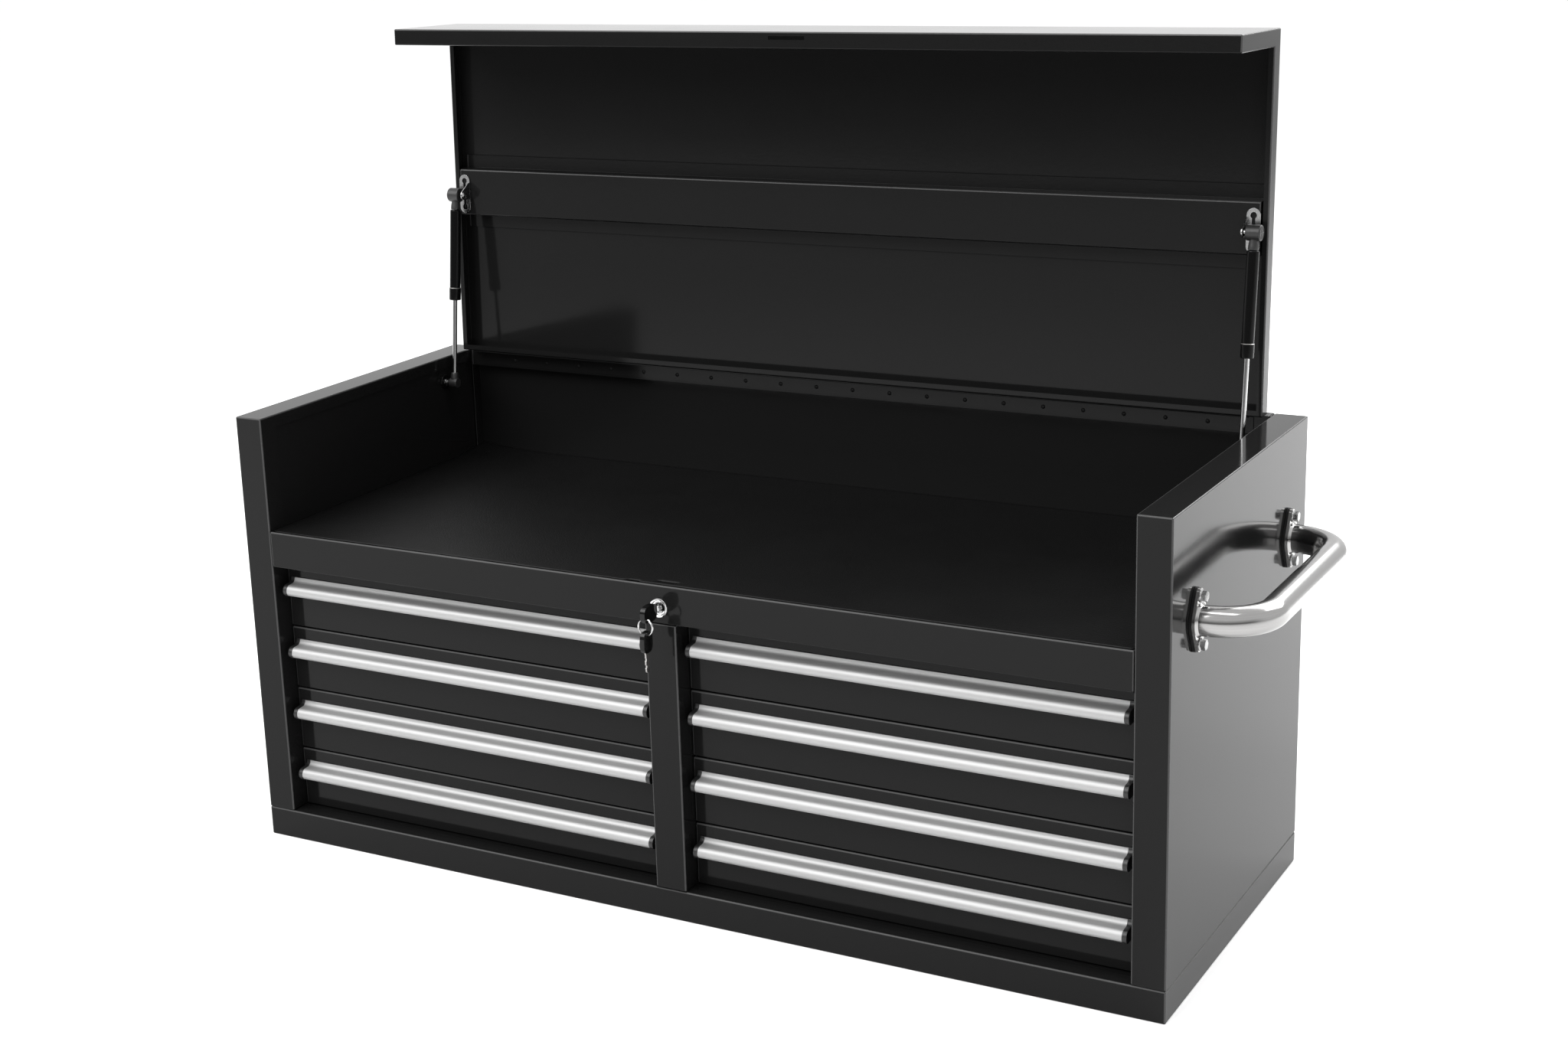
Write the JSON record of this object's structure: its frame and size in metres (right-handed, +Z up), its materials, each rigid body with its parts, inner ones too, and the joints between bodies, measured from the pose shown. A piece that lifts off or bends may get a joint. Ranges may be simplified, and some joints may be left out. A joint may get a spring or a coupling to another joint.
{
  "type": "tool chest",
  "caption": "Wide steel top tool chest: two columns of shallow drawers under a mat-lined well, with a deep-fronted lid on gas struts, a key lock and a tubular side handle.",
  "frame": {"origin": "middle of the underside of the base pan", "axes": "+X to the right along the width, +Y to the back, +Z up; the drawers open towards -Y"},
  "size_m": [1.2507, 0.4939, 0.9719],
  "materials": {
    "black_paint": "gloss",
    "mat_rubber": "fine grained",
    "black_plastic": "moulded",
    "anodised_aluminium": "satin anodised",
    "stainless": "polished",
    "zinc": "zinc plated",
    "chrome": "polished"
  },
  "bodies": {
    "chest": {"base_pan": "black_paint", "left_side_panel": "black_paint", "right_side_panel": "black_paint", "left_liner": "black_paint", "right_liner": "black_paint", "back_panel": "black_paint", "hinge_rail": "black_paint", "tray_floor": "black_paint", "tray_mat": "mat_rubber", "header_rail": "black_paint", "centre_post": "black_paint", "centre_partition": "black_paint", "left_outer_slide_rack": "zinc", "left_inner_slide_rack": "zinc", "right_outer_slide_rack": "zinc", "right_inner_slide_rack": "zinc", "hinge_leaf_body": "black_paint", "hinge_pin": "zinc", "left_lower_ball_stud": "black_plastic", "right_lower_ball_stud": "black_plastic", "lock_barrel": "chrome", "side_handle": "stainless", "front_handle_gasket": "mat_rubber", "rear_handle_gasket": "mat_rubber", "front_upper_handle_bolt": "zinc", "front_lower_handle_bolt": "zinc", "rear_upper_handle_bolt": "zinc", "rear_lower_handle_bolt": "zinc"},
    "lid": {"lid_shell": "black_paint", "lid_stiffener": "black_paint", "hinge_leaf_lid": "black_paint", "left_strut_bracket": "zinc", "right_strut_bracket": "zinc"},
    "left_drawer_1": {"left_drawer_1": "black_paint", "left_drawer_1_pull": "anodised_aluminium"},
    "left_drawer_2": {"left_drawer_2": "black_paint", "left_drawer_2_pull": "anodised_aluminium"},
    "left_drawer_3": {"left_drawer_3": "black_paint", "left_drawer_3_pull": "anodised_aluminium"},
    "left_drawer_4": {"left_drawer_4": "black_paint", "left_drawer_4_pull": "anodised_aluminium"},
    "left_strut_rod": {"left_strut_rod": "chrome"},
    "left_strut_cylinder": {"left_strut_cylinder": "black_plastic"},
    "right_drawer_1": {"right_drawer_1": "black_paint", "right_drawer_1_pull": "anodised_aluminium"},
    "right_drawer_2": {"right_drawer_2": "black_paint", "right_drawer_2_pull": "anodised_aluminium"},
    "right_drawer_3": {"right_drawer_3": "black_paint", "right_drawer_3_pull": "anodised_aluminium"},
    "right_drawer_4": {"right_drawer_4": "black_paint", "right_drawer_4_pull": "anodised_aluminium"},
    "right_strut_rod": {"right_strut_rod": "chrome"},
    "right_strut_cylinder": {"right_strut_cylinder": "black_plastic"},
    "lock_plug": {"lock_plug": "chrome", "key_in_lock": "black_plastic", "key_ring": "chrome"},
    "spare_key": {"spare_key": "black_plastic"},
    "lock_bar": {"lock_bar": "zinc"}
  },
  "joints": [
    {"name": "lid_hinge", "type": "hinge", "parent": "chest", "child": "lid", "pos_m": [0, 0.2076, 0.5394], "axis": [1, 0, 0], "range_deg": [0, 91.7]},
    {"name": "left_drawer_1_slide", "type": "slide", "parent": "chest", "child": "left_drawer_1", "axis": [0, -1, 0], "range_m": [0, 0.3]},
    {"name": "left_drawer_2_slide", "type": "slide", "parent": "chest", "child": "left_drawer_2", "axis": [0, -1, 0], "range_m": [0, 0.3]},
    {"name": "left_drawer_3_slide", "type": "slide", "parent": "chest", "child": "left_drawer_3", "axis": [0, -1, 0], "range_m": [0, 0.3]},
    {"name": "left_drawer_4_slide", "type": "slide", "parent": "chest", "child": "left_drawer_4", "axis": [0, -1, 0], "range_m": [0, 0.3]},
    {"name": "left_strut_turn", "type": "hinge", "parent": "chest", "child": "left_strut_rod", "pos_m": [-0.533, 0.1493, 0.506], "axis": [1, 0, 0], "range_deg": [0, 97.6]},
    {"name": "left_strut_stroke", "type": "slide", "parent": "left_strut_rod", "child": "left_strut_cylinder", "axis": [0, 0.1177, 0.993], "range_m": [-0.0945, 0]},
    {"name": "right_drawer_1_slide", "type": "slide", "parent": "chest", "child": "right_drawer_1", "axis": [0, -1, 0], "range_m": [0, 0.3]},
    {"name": "right_drawer_2_slide", "type": "slide", "parent": "chest", "child": "right_drawer_2", "axis": [0, -1, 0], "range_m": [0, 0.3]},
    {"name": "right_drawer_3_slide", "type": "slide", "parent": "chest", "child": "right_drawer_3", "axis": [0, -1, 0], "range_m": [0, 0.3]},
    {"name": "right_drawer_4_slide", "type": "slide", "parent": "chest", "child": "right_drawer_4", "axis": [0, -1, 0], "range_m": [0, 0.3]},
    {"name": "right_strut_turn", "type": "hinge", "parent": "chest", "child": "right_strut_rod", "pos_m": [0.533, 0.1493, 0.506], "axis": [1, 0, 0], "range_deg": [0, 97.6]},
    {"name": "right_strut_stroke", "type": "slide", "parent": "right_strut_rod", "child": "right_strut_cylinder", "axis": [0, 0.1177, 0.993], "range_m": [-0.0945, 0]},
    {"name": "lock_turn", "type": "hinge", "parent": "chest", "child": "lock_plug", "pos_m": [0, -0.2285, 0.374], "axis": [0, 1, 0], "range_deg": [0, 90]},
    {"name": "lock_bar_lift", "type": "slide", "parent": "chest", "child": "lock_bar", "axis": [0, 0, 1], "range_m": [0, 0.0143]},
    {"name": "spare_key_round_ring", "type": "hinge", "parent": "lock_plug", "child": "spare_key", "pos_m": [0, -0.2575, 0.3603], "axis": [0, 1, 0], "range_deg": [-90, 0]}
  ],
  "couplings": [
    {"joint": "left_strut_turn", "follows": "lid_hinge", "ratio": 1.0638},
    {"joint": "left_strut_stroke", "follows": "lid_hinge", "m_per_rad": -0.05896},
    {"joint": "right_strut_turn", "follows": "lid_hinge", "ratio": 1.0638},
    {"joint": "right_strut_stroke", "follows": "lid_hinge", "m_per_rad": -0.05896},
    {"joint": "lock_bar_lift", "follows": "lock_turn", "m_per_rad": 0.009},
    {"joint": "spare_key_round_ring", "follows": "lock_turn", "ratio": -1}
  ]
}
